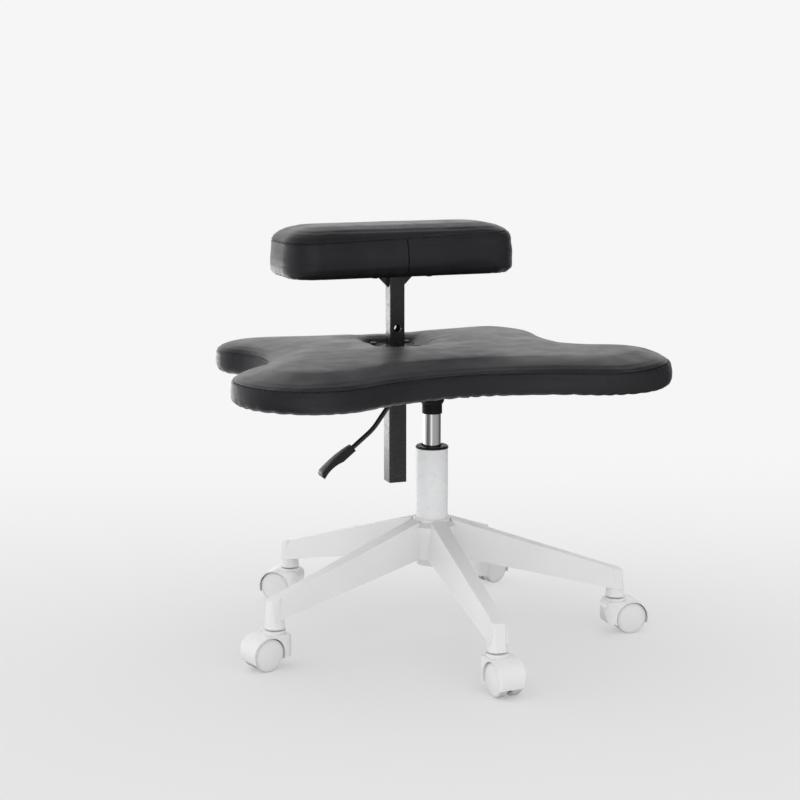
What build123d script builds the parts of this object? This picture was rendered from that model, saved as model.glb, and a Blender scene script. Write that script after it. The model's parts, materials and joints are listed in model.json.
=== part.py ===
from build123d import *
from math import asin, atan, atan2, cos, degrees, hypot, radians, sin, sqrt
import os

os.makedirs("parts", exist_ok=True)

# All sizes are in millimetres. The origin is on the floor under the lift's axis, +Z is up,
# the chair faces -Y, and radii are measured from the lift's axis.

# Star base: an arm is a straight taper between its root and its tip
arm_angles = {"front": -90, "right": -18, "back_right": 54, "back_left": 126, "left": 198}
arm_root = {"r": 30, "top": 185.5, "low": 129, "top_width": 25, "low_width": 38}
arm_tip = {"r": 298, "top": 102.5, "low": 71.5, "top_width": 19, "low_width": 29}
arm_edge_radius = 4.5
arm_wall = 4
arm_cavity = (48, 268)
rib_radii = (82, 118, 154, 190, 226)
rib_thickness = 3
rib_setback = 4
hub_radius = 40
hub_low = 126.5
hub_shoulder = 177.5
hub_high = 183
collar_radius = 29.2
collar_high = 188
collar_bevel = 2
socket_circle = 290
socket_low = 60
socket_high = 98
socket_bore_radius = 5.5
boss_low_radius = 15.5
boss_high_radius = 11.5
boss_height = 46
end_flat_low = 304
end_flat_lean = 6.2

# Gas lift
column_radius = 25
column_wall = 1.75
column_low = 112.5
column_high = 297.5
column_foot_radius = 24.2
column_floor = 6
seat_gap = 0.02
bush_low = 231
bush_lip = 3.6
bush_lip_radius = 25.6
cylinder_radius = 14
cylinder_wall = 1.6
cylinder_low = 181.5
cylinder_high = 383.5
cylinder_tip_radius = 13.2
taper_low = 352
running_gap = 0.05
rod_radius = 5
rod_top = 290.5
piston_radius = 12
piston_height = 14
rod_shoulder_radius = 11
race_radius = 17
race_thickness = 2.5
ball_radius = 2.5
ball_circle = 12
ball_count = 9
clip_radius = 9
clip_thickness = 1.6
button_radius = 4
button_high = 388.7
button_depth = 26

# The seat, the post and all on them stand turned on the lift, anticlockwise from above
seat_turn = 3

# Taper socket and pressed seat plate
socket_radius = 15.5
socket_collar_radius = 18.75
socket_collar_low = 367
socket_collar_flare = 4.5
plate_thickness = 3
plate_size = (190, 150)
plate_corner = 18
plate_bolt_half = (80, 60)
pan_top = (116, 80)
pan_low_size = (96, 60)
pan_low = 380.5
pan_corner = 14
lever_window = (13, 15)

# Release lever, in the vertical plane through the lift's axis
lever_height = 391
lever_pivot_x = -40
lever_radius = 3.7
lever_bend = (-54.8, lever_height)
lever_knee = (-97.4, 333.2)
lever_end = (-147.5, 293.1)
lever_bend_radius = 12
lever_knee_radius = 80
lever_tab = (14, 10, 4)
tab_gap = 0.6
pivot_radius = 2.5
ear_gap = 5.3
ear_thickness = 2
grip_heel = (-134.2, 311)
grip_tip = (-180.8, 275)
grip_nose = (-178.5, 263.2)
grip_belly = (-148, 286.8)
grip_throat = (-127.1, 302.6)
grip_tip_width = 21
grip_root_width = 10.5

# Lower pad: four lobes joined by tangent hollows
front_lobe = {"x": 226.3, "y": -101.2, "r": 118.9}
rear_lobe = {"x": 208.5, "y": 211.3, "r": 73.7}
front_dip = -160.6
rear_dip = 260.2
notch_radius = 126.2
seat_low = 401.5
seat_board_thickness = 18
seat_board_inset = 14
cover_thickness = 0.8
cover_margin = 4
lower_band = ((10, seat_low - cover_thickness), (3, 405.5), (0, 417.5), (2.5, 434.5))
lower_crown = ((2.5, 434.5), (9, 441.5), (25, 447), (56, 450))
# Dimple under the flange: half width, reach to the front, reach to the rear, corner, height
dimple_sections = (
    (41, 37, 36, 12, 432.4),
    (48, 62, 45, 22, 441),
    (60, 100, 57, 36, 447),
    (82, 150, 74, 60, 451.5),
)

# Post: a square tube that slides in a fixed sleeve behind the lift
post_y = 163
sleeve_side = 30
sleeve_bore = 25.2
sleeve_corner = 3
sleeve_low = 210
flange_size = (76, 66)
flange_corner = 8
flange_high = 435.7
flange_thickness = 3
flange_bolt_half = (29, 24)
post_side = 25
post_wall = 2
post_corner = 2.5
post_low = 288.5
post_high = 551.7
post_hole_radius = 6
post_holes = (304.9, 344.9, 384.9, 424.9, 464.9)
lock_height = post_holes[2]
lock_pin_radius = 5
lock_boss_radius = 9
lock_boss_length = 14
lock_pin_length = 40
lock_knob_radius = 13
lock_knob_length = 18
gusset_leg = 21
gusset_thickness = 3

# Upper pad on the post
top_plate_size = (120, 90)
top_plate_corner = 10
pad_size = (397, 168)
pad_shift = -4.8
pad_corner = 54
pad_board_low = 555.5
pad_board_thickness = 15
pad_board_inset = 16
upper_band = ((13, pad_board_low - cover_thickness), (5, 560.8), (0, 582.8), (4, 609.6))
upper_crown = ((4, 609.6), (9, 620.2), (24, 629.8), (52, 635.5))
pad_screw_half = (46, 32)

# Fasteners
bolt_radius = 3
bolt_hole_radius = 3.4
bolt_head_radius = 5.5
bolt_head_height = 4
pan_head_height = 2
tee_barrel_radius = 4
tee_flange_radius = 9
tee_flange_thickness = 1.2

# Twin-wheel casters, drawn with the stem on the axis and the wheels trailing towards +X
caster_trail = 21
caster_half_width = 21
caster_yaws = {"front": -82.5, "right": -1, "back_right": 25, "back_left": 143, "left": 199}
wheel_radius = 25
wheel_inner = 4.8
dome_rise = 2.6
web_half = 4.2
well_radius = 26.2
hood_radius = 28.4
hood_tail_height = 16
nose_low = 18
nose_reach = 21.5
hood_top = 53.4
neck_radius = 16.3
neck_high = 57.4
nose_round = 17
tail_round = 5
axle_radius = 3
axle_half = 17
stem_radius = 5.45
stem_low = 45.5
stem_high = 96
ring_low = 84
ring_height = 4
ring_groove_radius = 4.2


def save(node, *solids):
    shape = solids[0] if len(solids) == 1 else Compound(list(solids))
    export_step(shape, f"parts/{node}.step")


def save_turned(node, *solids):
    save(node, *[Rot(0, 0, seat_turn) * solid for solid in solids])


def prism(face, low, high):
    return extrude(Pos(0, 0, low) * face, high - low)


def tube(outer, inner, low, high):
    return prism(Circle(outer) - Circle(inner), low, high)


def rod(radius, low, high):
    return prism(Circle(radius), low, high)


def turned(*points):
    # Solid of revolution about Z from (radius, height) points
    return revolve(Plane.XZ * make_face(Polyline(*points, close=True)), Axis.Z)


def rounded(width, length, corner):
    return RectangleRounded(width, length, corner)


def corners(half, y=0):
    return [Pos(sx * half[0], y + sy * half[1]) for sx in (-1, 1) for sy in (-1, 1)]


def between(low, high, share):
    return low + (high - low) * share


# Star base


def arm_section(r, wall=0, drop=0):
    share = (r - arm_root["r"]) / (arm_tip["r"] - arm_root["r"])
    size = {key: between(arm_root[key], arm_tip[key], share) for key in arm_root}
    top = size["top"] - wall
    low = size["low"] - drop
    half_top = size["top_width"] / 2 - wall
    half_low = size["low_width"] / 2 - wall * 0.9
    corner_points = ((-half_low, low), (half_low, low), (half_top, top), (-half_top, top))
    across = Plane((r, 0, 0), x_dir=(0, 1, 0), z_dir=(1, 0, 0))
    return across * make_face(Polyline(*corner_points, close=True))


def star_arm():
    shell = loft([arm_section(arm_root["r"]), arm_section(arm_tip["r"])])
    ridge = shell.faces().sort_by(Axis.Z)[-1]
    long_edges = ridge.edges().sort_by(SortBy.LENGTH)[-2:]
    shell = fillet(long_edges, arm_edge_radius)
    start, end = arm_cavity
    cavity = loft([arm_section(start, arm_wall, 10), arm_section(end, arm_wall, 10)])
    for r in rib_radii:
        cavity -= loft([arm_section(r, 0, -rib_setback), arm_section(r + rib_thickness, 0, -rib_setback)])
    boss = Cone(boss_low_radius, boss_high_radius, boss_height)
    boss = Pos(socket_circle, 0, socket_low + boss_height / 2) * boss
    slope = degrees(atan((arm_root["top"] - arm_tip["top"]) / (arm_tip["r"] - arm_root["r"])))
    above = Pos(arm_tip["r"], 0, arm_tip["top"]) * Rot(0, slope, 0) * Pos(0, 0, 40) * Box(160, 80, 80)
    beyond = Pos(end_flat_low, 0, socket_low) * Rot(0, -end_flat_lean, 0) * Pos(40, 0, 0) * Box(80, 80, 200)
    return (shell - cavity) + (boss - above) - beyond


def star_base():
    arm = star_arm()
    body = turned(
        (0, hub_low),
        (hub_radius, hub_low),
        (hub_radius, hub_shoulder),
        (collar_radius, hub_high),
        (collar_radius, collar_high - collar_bevel),
        (collar_radius - collar_bevel, collar_high),
        (0, collar_high),
    )
    for angle in arm_angles.values():
        body += Rot(0, 0, angle) * arm
    bore = turned(
        (0, hub_low - 10),
        (column_foot_radius + seat_gap, hub_low - 10),
        (column_foot_radius + seat_gap, column_low),
        (column_radius + seat_gap, hub_high),
        (column_radius + seat_gap, collar_high + 10),
        (0, collar_high + 10),
    )
    body -= bore
    for angle in arm_angles.values():
        socket = Pos(socket_circle, 0, 0) * rod(socket_bore_radius, socket_low - 2, socket_high)
        body -= Rot(0, 0, angle) * socket
    return body


# Gas lift


def lift_column():
    inner = column_radius - column_wall
    foot = column_foot_radius - column_wall
    floor = column_low + column_floor
    hole = rod_radius + 1
    return turned(
        (hole, column_low),
        (column_foot_radius, column_low),
        (column_radius, hub_high),
        (column_radius, column_high),
        (inner, column_high),
        (inner, hub_high),
        (foot, floor),
        (hole, floor),
    )


def guide_bush():
    outer = column_radius - column_wall - seat_gap
    inner = cylinder_radius + running_gap
    lip = column_high + bush_lip
    return turned(
        (inner, bush_low),
        (outer, bush_low),
        (outer, column_high),
        (bush_lip_radius, column_high),
        (bush_lip_radius, lip - 1.6),
        (bush_lip_radius - 1.4, lip),
        (inner + 4, lip),
        (inner, lip - 2),
    )


def gas_cylinder():
    inner = cylinder_radius - cylinder_wall
    guide = cylinder_low + 16
    roof = cylinder_high - 22
    bore = rod_radius + running_gap
    valve = button_radius + running_gap
    return turned(
        (bore, cylinder_low),
        (cylinder_radius - 1.5, cylinder_low),
        (cylinder_radius, cylinder_low + 1.5),
        (cylinder_radius, taper_low),
        (cylinder_tip_radius, cylinder_high),
        (valve, cylinder_high),
        (valve, roof),
        (inner, roof),
        (inner, guide),
        (bore, guide),
    )


def bearing_levels():
    floor = column_low + column_floor
    ball_centre = floor + race_thickness + ball_radius
    shoulder = ball_centre + ball_radius + 0.05
    return floor, ball_centre, shoulder


def piston_rod():
    shoulder = bearing_levels()[2]
    groove_low = column_low - clip_thickness - 0.4
    groove_high = column_low - 0.3
    return turned(
        (0, groove_low - 4),
        (rod_radius - 0.6, groove_low - 4),
        (rod_radius, groove_low - 3.4),
        (rod_radius, groove_low),
        (rod_radius - 1.2, groove_low),
        (rod_radius - 1.2, groove_high),
        (rod_radius, groove_high),
        (rod_radius, shoulder),
        (rod_shoulder_radius + 5, shoulder),
        (rod_shoulder_radius + 5, shoulder + 3),
        (rod_shoulder_radius, shoulder + 6),
        (rod_radius, shoulder + 6),
        (rod_radius, rod_top - piston_height),
        (piston_radius, rod_top - piston_height),
        (piston_radius, rod_top),
        (0, rod_top),
    )


def bearing_race():
    floor = bearing_levels()[0]
    return tube(race_radius, rod_radius + 1.2, floor + 0.01, floor + race_thickness - 0.02)


def bearing_balls():
    height = bearing_levels()[1]
    return [loc * Sphere(ball_radius) for loc in Pos(0, 0, height) * PolarLocations(ball_circle, ball_count)]


def retaining_clip():
    low = column_low - clip_thickness - 0.35
    ring = tube(clip_radius, rod_radius - 1.1, low, low + clip_thickness)
    return ring - Pos(clip_radius, 0, low) * Box(2 * clip_radius, 5.2, 6)


def release_button():
    return turned(
        (0, button_high - button_depth),
        (button_radius, button_high - button_depth),
        (button_radius, button_high - 1),
        (button_radius - 1, button_high),
        (0, button_high),
    )


# Seat plate and lever


def taper_socket():
    low = cylinder_radius + seat_gap
    high = cylinder_tip_radius + seat_gap
    return turned(
        (low, taper_low),
        (socket_radius, taper_low),
        (socket_radius, socket_collar_low),
        (socket_radius + 0.8, socket_collar_low),
        (socket_collar_radius, socket_collar_low + socket_collar_flare),
        (socket_collar_radius, cylinder_high - 0.01),
        (high, cylinder_high - 0.01),
    )


def pan_block(shrink, low, high):
    top = rounded(pan_top[0] - 2 * shrink, pan_top[1] - 2 * shrink, pan_corner)
    bottom = rounded(pan_low_size[0] - 2 * shrink, pan_low_size[1] - 2 * shrink, pan_corner)
    return loft([Pos(0, 0, low) * bottom, Pos(0, 0, high) * top])


def lift_plate():
    top = seat_low - cover_thickness
    plate = prism(rounded(*plate_size, plate_corner), top - plate_thickness, top)
    plate += pan_block(0, pan_low, top)
    plate -= pan_block(plate_thickness, pan_low + plate_thickness, top + plate_thickness)
    plate -= rod(socket_collar_radius + seat_gap, pan_low - 1, pan_low + plate_thickness + 1)
    plate -= Pos(-pan_top[0] / 2, 0, lever_height - 1) * Box(30, *lever_window)
    for place in corners(plate_bolt_half):
        plate -= place * rod(bolt_hole_radius, pan_low, top + 1)
    return plate


def lever_ears():
    low = pan_low + plate_thickness
    high = lever_height + 5
    ears = []
    for side in (-1, 1):
        y = side * (ear_gap + ear_thickness / 2)
        ear = Pos(lever_pivot_x, y, (low + high) / 2) * Box(10, ear_thickness, high - low)
        hole = Pos(lever_pivot_x, y, lever_height) * Rot(90, 0, 0) * Cylinder(pivot_radius + 0.02, 6)
        ears.append(ear - hole)
    return ears


def lever_pivot():
    length = 2 * (ear_gap + ear_thickness) + 3
    return Pos(lever_pivot_x, 0, lever_height) * Rot(90, 0, 0) * Cylinder(pivot_radius, length)


def lever_rod():
    start = (lever_tab[0] / 2 - lever_tab[0], lever_height)
    bends = [lever_bend_radius, lever_knee_radius]
    route = FilletPolyline(start, lever_bend, lever_knee, lever_end, radius=bends)
    path = Plane.XZ * route
    bar = sweep(Plane(path @ 0, z_dir=path % 0) * Circle(lever_radius), path)
    tab = Pos(-1, 0, button_high + tab_gap + lever_tab[2] / 2) * Box(*lever_tab)
    eye = Pos(lever_pivot_x, 0, lever_height) * Rot(90, 0, 0) * Cylinder(5, 2 * (ear_gap - 0.3))
    hole = Pos(lever_pivot_x, 0, lever_height) * Rot(90, 0, 0) * Cylinder(pivot_radius + running_gap, 30)
    return bar + tab + eye - hole


def lever_grip():
    # Side profile of the paddle: thick where the rod enters, hollowed below towards the tip
    back = ThreePointArc(grip_heel, (-158.6, 295), grip_tip)
    tip = ThreePointArc(grip_tip, (-182.8, 267.8), grip_nose)
    hollow = ThreePointArc(grip_nose, (-166, 277.6), grip_belly)
    heel = Polyline(grip_belly, grip_throat, grip_heel)
    profile = Plane.XZ * make_face([back, tip, hollow, heel])
    slab = extrude(profile, grip_tip_width / 2, both=True)
    half_tip = grip_tip_width / 2
    half_root = grip_root_width / 2
    root = grip_throat[0] + 2
    end = grip_tip[0] - 4
    plan_points = ((root, -half_root), (end, -half_tip), (end, half_tip), (root, half_root))
    plan = prism(make_face(Polyline(*plan_points, close=True)), grip_nose[1] - 5, grip_heel[1] + 5)
    return slab & plan


# Pads


def arc(centre, radius, start, end):
    points = [
        (centre[0] + radius * cos(radians(angle)), centre[1] + radius * sin(radians(angle)))
        for angle in (start, (start + end) / 2, end)
    ]
    return ThreePointArc(*points)


def heading(start, end):
    return degrees(atan2(end[1] - start[1], end[0] - start[0]))


def dip_radius(lobe, dip, side):
    # Radius of the hollow on the centre line that is tangent to a lobe and reaches in to dip
    rise = lobe["y"] - dip
    return (lobe["x"] ** 2 + rise**2 - lobe["r"] ** 2) / (2 * lobe["r"] + 2 * side * rise)


def notch_centre():
    # Centre of the side hollow, tangent to both lobes
    near = notch_radius + front_lobe["r"]
    far = notch_radius + rear_lobe["r"]
    dx = rear_lobe["x"] - front_lobe["x"]
    dy = rear_lobe["y"] - front_lobe["y"]
    span = hypot(dx, dy)
    along = (near**2 - far**2 + span**2) / (2 * span)
    out = sqrt(near**2 - along**2)
    x = front_lobe["x"] + (along * dx + out * dy) / span
    y = front_lobe["y"] + (along * dy - out * dx) / span
    return x, y


def lobed_outline(inset):
    front = (front_lobe["x"], front_lobe["y"])
    rear = (rear_lobe["x"], rear_lobe["y"])
    front_hollow = dip_radius(front_lobe, front_dip, -1)
    rear_hollow = dip_radius(rear_lobe, rear_dip, 1)
    front_centre = (0, front_dip - front_hollow)
    rear_centre = (0, rear_dip + rear_hollow)
    notch = notch_centre()
    front_start = heading(front, front_centre)
    front_end = heading(front, notch)
    rear_start = heading(rear, notch)
    rear_end = heading(rear, rear_centre)
    front_middle = (front_start + front_end) / 2
    dip_turn = front_start + 180
    tail_turn = rear_end - 180
    lobe_r = front_lobe["r"] - inset
    rear_r = rear_lobe["r"] - inset
    right = [
        arc(front, lobe_r, front_start, front_middle),
        arc(front, lobe_r, front_middle, front_end),
        arc(notch, notch_radius + inset, front_end + 180, rear_start + 180),
        arc(rear, rear_r, rear_start, rear_end),
    ]
    left = [mirror(edge, Plane.YZ) for edge in right]
    front_edge = arc(front_centre, front_hollow + inset, 180 - dip_turn, dip_turn)
    rear_edge = arc(rear_centre, rear_hollow + inset, tail_turn, -180 - tail_turn)
    return make_face([front_edge, *right, rear_edge, *left])


def stacked(outline, sections):
    return loft([Pos(0, 0, height) * outline(inset) for inset, height in sections])


def seat_board():
    board = prism(lobed_outline(seat_board_inset), seat_low, seat_low + seat_board_thickness)
    board -= sleeve_hole(seat_low - 1, seat_low + seat_board_thickness + 1)
    for place in corners(plate_bolt_half) + corners(flange_bolt_half, post_y):
        board -= place * rod(tee_barrel_radius + seat_gap, seat_low - 1, seat_low + seat_board_thickness + 1)
    return board


def sleeve_hole(low, high):
    side = sleeve_side + 0.6
    return Pos(0, post_y) * prism(rounded(side, side, sleeve_corner), low, high)


def dimple():
    levels = []
    for half_width, front, rear, corner, height in dimple_sections:
        middle = post_y + (rear - front) / 2
        levels.append(Pos(0, middle, height) * rounded(2 * half_width, front + rear, corner))
    return loft(levels)


def lower_pad():
    top = seat_low + seat_board_thickness
    pad = stacked(lobed_outline, lower_band) + stacked(lobed_outline, lower_crown)
    pad -= prism(lobed_outline(seat_board_inset - 0.3), seat_low - 0.02, top + 0.05)
    pad -= prism(lobed_outline(seat_board_inset + cover_margin - 0.3), seat_low - 5, seat_low)
    pad -= dimple()
    pad -= sleeve_hole(top - 1, flange_high)
    for place in corners(flange_bolt_half, post_y):
        pad -= place * rod(bolt_hole_radius, top - 1, flange_high)
    return pad


def seat_dust_cover():
    cover = prism(lobed_outline(seat_board_inset + cover_margin), seat_low - cover_thickness, seat_low - 0.01)
    cover -= prism(rounded(*pan_top, pan_corner), seat_low - 2, seat_low + 1)
    cover -= sleeve_hole(seat_low - 2, seat_low + 1)
    for place in corners(plate_bolt_half) + corners(flange_bolt_half, post_y):
        cover -= place * rod(tee_flange_radius + 0.5, seat_low - 2, seat_low + 1)
    return cover


def pad_outline(inset):
    shape = rounded(pad_size[0] - 2 * inset, pad_size[1] - 2 * inset, pad_corner - inset * 0.8)
    return Pos(pad_shift, post_y) * shape


def pad_board():
    board = prism(pad_outline(pad_board_inset), pad_board_low, pad_board_low + pad_board_thickness)
    for place in corners(pad_screw_half, post_y):
        board -= place * rod(bolt_radius + seat_gap, pad_board_low - 1, pad_board_low + 12)
    return board


def upper_pad():
    pad = stacked(pad_outline, upper_band) + stacked(pad_outline, upper_crown)
    board_high = pad_board_low + pad_board_thickness
    pad -= prism(pad_outline(pad_board_inset - 0.3), pad_board_low - 0.02, board_high + 0.05)
    return pad - prism(pad_outline(pad_board_inset + cover_margin - 0.3), pad_board_low - 5, pad_board_low)


def pad_dust_cover():
    edge = pad_outline(pad_board_inset + cover_margin)
    cover = prism(edge, pad_board_low - cover_thickness, pad_board_low - 0.01)
    for place in corners(pad_screw_half, post_y):
        cover -= place * rod(bolt_hole_radius, pad_board_low - 2, pad_board_low + 1)
    return cover


# Post and lock


def square_tube(outer, corner, inner, low, high):
    bore = rounded(inner, inner, max(corner - (outer - inner) / 2, 0.6))
    return Pos(0, post_y) * prism(rounded(outer, outer, corner) - bore, low, high)


def along_y(radius, height, start, end):
    # Round bar or hole along Y on the post's centre line
    middle = (start + end) / 2
    return Pos(0, middle, height) * Rot(90, 0, 0) * Cylinder(radius, end - start)


def post_sleeve():
    sleeve = square_tube(sleeve_side, sleeve_corner, sleeve_bore, sleeve_low, flange_high)
    return sleeve - along_y(lock_pin_radius + running_gap, lock_height, post_y, post_y + 40)


def sleeve_flange():
    low = flange_high - flange_thickness
    hole = rounded(sleeve_side + 2 * seat_gap, sleeve_side + 2 * seat_gap, sleeve_corner)
    plate = Pos(0, post_y) * prism(rounded(*flange_size, flange_corner) - hole, low, flange_high)
    for place in corners(flange_bolt_half, post_y):
        plate -= place * rod(bolt_hole_radius, low - 1, flange_high + 1)
    return plate


def lock_boss():
    start = post_y + sleeve_side / 2 + 0.01
    boss = along_y(lock_boss_radius, lock_height, start, start + lock_boss_length)
    return boss - along_y(lock_pin_radius + running_gap, lock_height, start - 1, start + lock_boss_length + 1)


def lock_pin():
    # Drawn back so that its nose is just inside the sleeve's rear wall, clear of the post
    start = post_y + post_side / 2 + 0.5
    pin = along_y(lock_pin_radius, lock_height, start, start + lock_pin_length)
    nose = pin.edges().filter_by(GeomType.CIRCLE).sort_by(Axis.Y)[0]
    return chamfer(nose, 1)


def lock_knob():
    end = post_y + post_side / 2 + 0.5 + lock_pin_length
    start = end - lock_knob_length + 4
    knob = along_y(lock_knob_radius, lock_height, start, end + 4)
    knob = fillet(knob.edges().filter_by(GeomType.CIRCLE).sort_by(Axis.Y)[-1], 4)
    for turn in range(0, 360, 60):
        place = Pos(0, 0, lock_height) * Rot(0, turn, 0) * Pos(0, 0, -lock_height)
        knob -= place * Pos(0, 0, lock_knob_radius + 2.4) * along_y(4, lock_height, start - 1, end + 8)
    return knob - along_y(lock_pin_radius + seat_gap, lock_height, start - 1, end)


def post():
    bore = post_side - 2 * post_wall
    bar = square_tube(post_side, post_corner, bore, post_low, post_high)
    for height in post_holes:
        bar -= along_y(post_hole_radius, height, post_y - 30, post_y + 30)
    return bar


def post_top_plate():
    plate = Pos(0, post_y) * prism(rounded(*top_plate_size, top_plate_corner), post_high, post_high + 3)
    for place in corners(pad_screw_half, post_y):
        plate -= place * rod(bolt_hole_radius, post_high - 1, post_high + 4)
    return plate


def post_gussets():
    high = post_high - 0.01
    start = post_side / 2 + 0.01
    webs = []
    for side in (-1, 1):
        inner, outer = side * start, side * (start + gusset_leg)
        triangle = Polyline((inner, high), (outer, high), (inner, high - gusset_leg), close=True)
        face = Plane.XZ * make_face(triangle)
        webs.append(Pos(0, post_y) * extrude(face, gusset_thickness / 2, both=True))
    return webs


# Fasteners


def hex_bolt(under_head, tip):
    head = prism(RegularPolygon(bolt_head_radius, 6), under_head - bolt_head_height, under_head)
    return head + rod(bolt_radius, under_head, tip)


def pan_screw(under_head, tip):
    head = rod(bolt_head_radius, under_head - pan_head_height, under_head)
    head = fillet(head.edges().filter_by(GeomType.CIRCLE).sort_by(Axis.Z)[0], pan_head_height * 0.7)
    return head + rod(bolt_radius, under_head, tip)


def button_bolt(under_head, tip):
    head = rod(bolt_head_radius, under_head, under_head + bolt_head_height - 0.5)
    head = fillet(head.edges().filter_by(GeomType.CIRCLE).sort_by(Axis.Z)[-1], 2)
    socket = prism(RegularPolygon(2, 6), under_head + 1.6, under_head + bolt_head_height)
    return head - socket + rod(bolt_radius, tip, under_head)


def tee_nut(seat, length):
    bore = bolt_radius + seat_gap
    barrel = tube(tee_barrel_radius, bore, seat, seat + length)
    return barrel + tube(tee_flange_radius, bore, seat - tee_flange_thickness, seat)


def upside_down_tee_nut(seat, length):
    bore = bolt_radius + seat_gap
    barrel = tube(tee_barrel_radius, bore, seat - length, seat)
    return barrel + tube(tee_flange_radius, bore, seat, seat + tee_flange_thickness)


# Casters


def caster_stem():
    low = ring_low
    high = ring_low + ring_height
    return turned(
        (0, stem_low),
        (stem_radius, stem_low),
        (stem_radius, low),
        (ring_groove_radius, low),
        (ring_groove_radius, high),
        (stem_radius, high),
        (stem_radius, stem_high - 3),
        (stem_radius - 2, stem_high),
        (0, stem_high),
    )


def grip_ring():
    low = ring_low + 0.3
    high = ring_low + ring_height - 0.3
    ring = tube(socket_bore_radius - 0.01, ring_groove_radius + 0.3, low, high)
    return ring - Pos(socket_bore_radius, 0, low) * Box(6, 2, 12)


def caster_hood():
    axle = (caster_trail, wheel_radius)
    top = Pos(*axle) * Circle(hood_radius)
    top -= Pos(caster_trail, hood_tail_height - 50) * Rectangle(200, 100)
    front = Spline((-17, nose_low), (-nose_reach, 34), (-nose_reach + 1, 46), (-13, hood_top))
    crown = Polyline((-13, hood_top), (12, hood_top), axle, (-3, nose_low), (-17, nose_low))
    nose = make_face([front, crown])
    hub = Pos(*axle) * Circle(8)
    side = Plane.XZ * (top + nose + hub)
    block = extrude(side, caster_half_width, both=True)
    low_x = -nose_reach - 1
    high_x = caster_trail + hood_radius + 0.5
    length = high_x - low_x
    plan = Pos((low_x + high_x) / 2, 0) * Rectangle(length, 2 * caster_half_width)
    ends = plan.vertices().sort_by(Axis.X)
    plan = fillet(ends[:2], nose_round)
    tail = plan.vertices().sort_by(Axis.X)[-2:]
    plan = fillet(tail, tail_round)
    hood = block & prism(plan, 0, 80)
    hood += rod(neck_radius, hood_top - 6, neck_high)
    well_width = 2 * caster_half_width
    for side_sign in (-1, 1):
        y = side_sign * (web_half + well_width / 2)
        hood -= Pos(caster_trail, y, wheel_radius) * Rot(90, 0, 0) * Cylinder(well_radius, well_width)
    hood -= rod(stem_radius + seat_gap, stem_low - 0.01, 90)
    axle_hole = Rot(90, 0, 0) * Cylinder(axle_radius + seat_gap, 60)
    return hood - Pos(caster_trail, 0, wheel_radius) * axle_hole


def caster_axle():
    return Pos(caster_trail, 0, wheel_radius) * Rot(90, 0, 0) * Cylinder(axle_radius, 2 * axle_half)


def caster_wheel(side):
    # Half section in (distance along the axle, radius), turned about the axle
    r = wheel_radius
    bore = axle_radius + running_gap
    outer = caster_half_width
    rim = r - 3.4
    dome_radius = (rim**2 + dome_rise**2) / (2 * dome_rise)
    dome = arc((outer - dome_radius, 0), dome_radius, degrees(asin(rim / dome_radius)), 0)
    inside = Polyline(
        (outer, 0),
        (axle_half + 0.6, 0),
        (axle_half + 0.6, bore),
        (wheel_inner, bore),
        (wheel_inner, 8),
        (wheel_inner + 4, 8.5),
        (wheel_inner + 4, r - 5),
        (wheel_inner + 0.6, r - 4.5),
        (wheel_inner + 0.6, r - 1.5),
        (wheel_inner + 2, r),
        (outer - 4.4, r),
        (outer - 2.4, r - 1.6),
        (outer - 2.4, r - 2.6),
        (outer - 3.4, r - 2.6),
        (outer - 3.4, rim),
        (outer - dome_rise, rim),
    )
    section = make_face([dome, inside])
    wheel = revolve(section, Axis.X)
    return Pos(caster_trail, 0, wheel_radius) * Rot(0, 0, side * 90) * wheel


def save_base():
    save("star_base", star_base())
    save("lift_column", lift_column())
    save("guide_bush", guide_bush())
    save("bearing_race", bearing_race())
    places = [Rot(0, 0, angle) * Pos(socket_circle, 0, 0) for angle in arm_angles.values()]
    save("stem_grip_rings", *[place * grip_ring() for place in places])


def save_lift():
    save("piston_rod", piston_rod())
    save("bearing_balls", *bearing_balls())
    save("retaining_clip", retaining_clip())
    save("gas_cylinder", gas_cylinder())
    save("release_button", release_button())


def save_seat():
    plate_seat = seat_low - cover_thickness - plate_thickness
    board_top = seat_low + seat_board_thickness
    plate_places = corners(plate_bolt_half)
    flange_places = corners(flange_bolt_half, post_y)
    save_turned("taper_socket", taper_socket())
    save_turned("lift_plate", lift_plate())
    save_turned("lever_bracket", *lever_ears())
    save_turned("lever_pivot", lever_pivot())
    save_turned("lever_rod", lever_rod())
    save_turned("lever_grip", lever_grip() - lever_rod())
    bolts = [place * hex_bolt(plate_seat - 0.01, board_top - 1) for place in plate_places]
    save_turned("plate_bolts", *bolts)
    nuts = [place * upside_down_tee_nut(board_top, 12) for place in plate_places]
    nuts += [place * tee_nut(seat_low, 12) for place in flange_places]
    save_turned("seat_tee_nuts", *nuts)
    save_turned("seat_board", seat_board())
    save_turned("seat_dust_cover", seat_dust_cover())
    pad = lower_pad()
    for place in plate_places:
        pad -= place * rod(tee_flange_radius + 0.3, board_top - 1, board_top + tee_flange_thickness + 0.3)
    save_turned("lower_pad", pad)
    save_turned("post_sleeve", post_sleeve())
    save_turned("sleeve_flange", sleeve_flange())
    bolts = [place * button_bolt(flange_high + 0.01, seat_low + 1) for place in flange_places]
    save_turned("flange_bolts", *bolts)
    save_turned("lock_boss", lock_boss())


def save_post():
    places = corners(pad_screw_half, post_y)
    save_turned("post", post())
    save_turned("post_top_plate", post_top_plate())
    save_turned("post_gussets", *post_gussets())
    save_turned("pad_board", pad_board())
    save_turned("pad_dust_cover", pad_dust_cover())
    save_turned("upper_pad", upper_pad())
    save_turned("pad_screws", *[place * pan_screw(post_high - 0.01, pad_board_low + 11) for place in places])
    save_turned("lock_pin", lock_pin())
    save_turned("lock_knob", lock_knob())


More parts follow.
